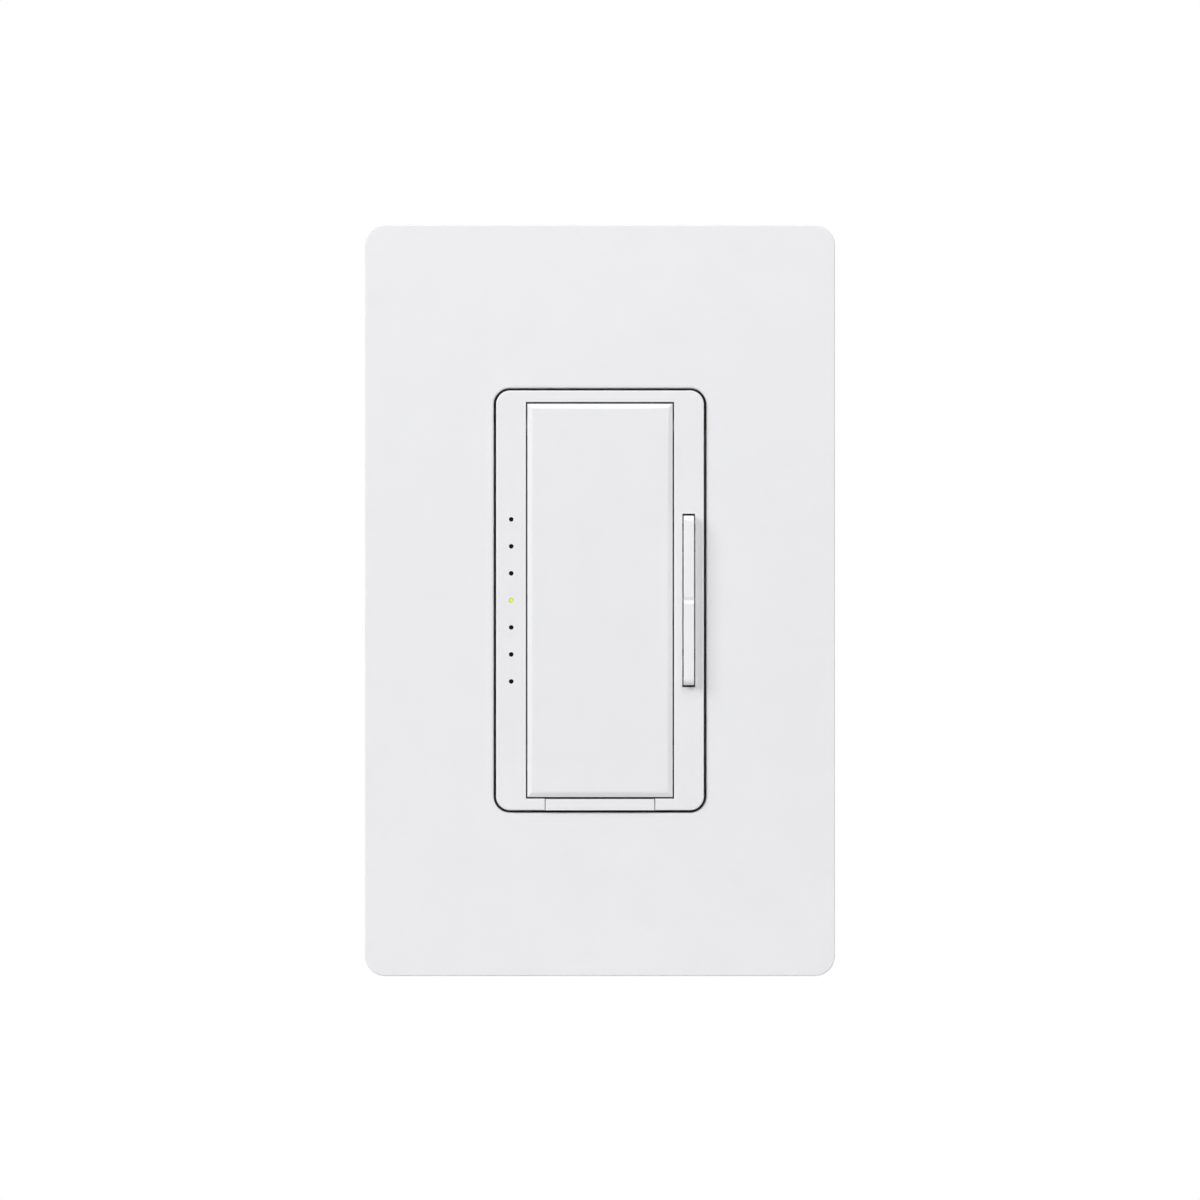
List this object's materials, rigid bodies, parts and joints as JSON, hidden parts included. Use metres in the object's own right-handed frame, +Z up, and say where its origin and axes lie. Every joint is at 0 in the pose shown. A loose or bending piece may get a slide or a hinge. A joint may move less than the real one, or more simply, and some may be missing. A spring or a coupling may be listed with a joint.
{
  "type": "wall dimmer switch",
  "caption": "Wall-box dimmer control with a large tap switch, a narrow dimming rocker, a row of status lights, a pull-out service tab and a screwless wallplate.",
  "frame": {"origin": "midway between the two wall-box screws, on the wall's surface, which is the rear face of the yoke", "axes": "+Z up the wall, +X to the right as seen from the room, +Y into the wall (the front faces -Y)"},
  "size_m": [0.0746, 0.0409, 0.119],
  "materials": {
    "cover_white": "satin moulded plastic",
    "adapter_white": "satin moulded plastic",
    "bezel_white": "satin moulded plastic",
    "tap_white": "satin moulded plastic",
    "rocker_white": "satin moulded plastic",
    "tab_white": "satin moulded plastic",
    "clear_acrylic": "clear moulded plastic",
    "zinc_screw": "zinc plated",
    "spring_steel": "bright drawn wire",
    "yoke_aluminium": "stamped, faintly rolled",
    "brass_strip": "stamped, slightly tarnished",
    "silver_contact": "silver alloy",
    "fibre": "vulcanised fibre",
    "green_screw": "green plated",
    "zinc_plate": "zinc plated",
    "board_green": "solder-masked laminate",
    "lamp_off": "moulded lamp",
    "lamp_lit": "lit lamp",
    "chip_black": "moulded epoxy",
    "tinned_pin": "tinned",
    "nylon": "moulded nylon",
    "triac_black": "moulded package",
    "pad_grey": "thermal pad",
    "iron_powder": "coated iron powder",
    "enamelled_copper": "enamelled wire",
    "film_case": "moulded box",
    "capacitor_sleeve": "shrunk sleeve",
    "varistor_blue": "dipped coating",
    "fuse_white": "ceramic body",
    "resistor_blue": "lacquered body",
    "housing_black": "moulded thermoset",
    "label_silver": "printed polyester, blank",
    "switch_black": "moulded case",
    "plunger_grey": "moulded plunger",
    "line_screw_brass": "brass screw",
    "load_screw_dark": "blackened screw",
    "traveler_screw": "nickel plated"
  },
  "bodies": {
    "frame": {"adapter_screws": "zinc_screw", "airgap_arm_bracket": "brass_strip", "airgap_fixed_contact": "silver_contact", "airgap_fixed_strip": "brass_strip", "bezel": "bezel_white", "board_header": "chip_black", "board_header_pins": "tinned_pin", "board_standoffs": "nylon", "box_screw_retainers": "fibre", "box_screws": "zinc_screw", "choke_core": "iron_powder", "choke_winding": "enamelled_copper", "control_board": "board_green", "control_passives": "chip_black", "electrolytic_capacitor": "capacitor_sleeve", "film_capacitor": "film_case", "ground_cup": "zinc_plate", "ground_screw": "green_screw", "housing_screws": "zinc_screw", "insulator_sheet": "fibre", "light_pipe": "clear_acrylic", "line_terminal_screw": "line_screw_brass", "load_terminal_screw": "load_screw_dark", "lower_switch_body": "switch_black", "microcontroller": "chip_black", "power_board": "board_green", "power_resistors": "resistor_blue", "raise_switch_body": "switch_black", "rating_label": "label_silver", "rear_housing": "housing_black", "rocker_pin": "spring_steel", "status_lamp_lit": "lamp_lit", "status_lamps_unlit": "lamp_off", "tap_return_springs": "spring_steel", "tap_switch_body": "switch_black", "terminal_clamps": "zinc_plate", "terminal_plates": "brass_strip", "thermal_fuse": "fuse_white", "traveler_terminal_screw": "traveler_screw", "triac": "triac_black", "triac_bush": "nylon", "triac_leads": "tinned_pin", "triac_pad": "pad_grey", "triac_screw": "zinc_screw", "varistor": "varistor_blue", "wallplate_adapter": "adapter_white", "wallplate_cover": "cover_white", "yoke": "yoke_aluminium"},
    "tap_switch": {"tap_switch": "tap_white"},
    "tap_plunger": {"tap_switch_plunger": "plunger_grey"},
    "dimming_rocker": {"dimming_rocker": "rocker_white"},
    "raise_plunger": {"raise_switch_plunger": "plunger_grey"},
    "lower_plunger": {"lower_switch_plunger": "plunger_grey"},
    "airgap_tab": {"airgap_tab": "tab_white"},
    "contact_arm": {"airgap_contact_arm": "brass_strip", "airgap_moving_contact": "silver_contact"}
  },
  "joints": [
    {"name": "tap_switch_press", "type": "hinge", "parent": "frame", "child": "tap_switch", "pos_m": [0, -0.005, 0.0275], "axis": [1, 0, 0], "range_deg": [0, 0.84], "stiffness_Nm_per_rad": 0.5, "springref_deg": -17.19, "deforming": ["tap_return_springs"]},
    {"name": "tap_plunger_slide", "type": "slide", "parent": "frame", "child": "tap_plunger", "axis": [0, 1, 0], "range_m": [0, 0.00035]},
    {"name": "dimming_rocker_tilt", "type": "hinge", "parent": "frame", "child": "dimming_rocker", "pos_m": [0.01407, -0.005, 0], "axis": [1, 0, 0], "range_deg": [-1.8, 1.8], "stiffness_Nm_per_rad": 0.4},
    {"name": "raise_plunger_slide", "type": "slide", "parent": "frame", "child": "raise_plunger", "axis": [0, 1, 0], "range_m": [-0.00032, 0.00032]},
    {"name": "lower_plunger_slide", "type": "slide", "parent": "frame", "child": "lower_plunger", "axis": [0, 1, 0], "range_m": [-0.00032, 0.00032]},
    {"name": "airgap_tab_pull", "type": "slide", "parent": "frame", "child": "airgap_tab", "axis": [0, -1, 0], "range_m": [0, 0.0035]},
    {"name": "contact_arm_lift", "type": "hinge", "parent": "frame", "child": "contact_arm", "pos_m": [-0.0125, 0.008, -0.02975], "axis": [0, -1, 0], "range_deg": [0, 4.9]}
  ],
  "couplings": [
    {"joint": "tap_plunger_slide", "follows": "tap_switch_press", "m_per_rad": 0.0235},
    {"joint": "raise_plunger_slide", "follows": "dimming_rocker_tilt", "m_per_rad": -0.01},
    {"joint": "lower_plunger_slide", "follows": "dimming_rocker_tilt", "m_per_rad": 0.01},
    {"joint": "contact_arm_lift", "follows": "airgap_tab_pull", "rad_per_m": 24}
  ]
}
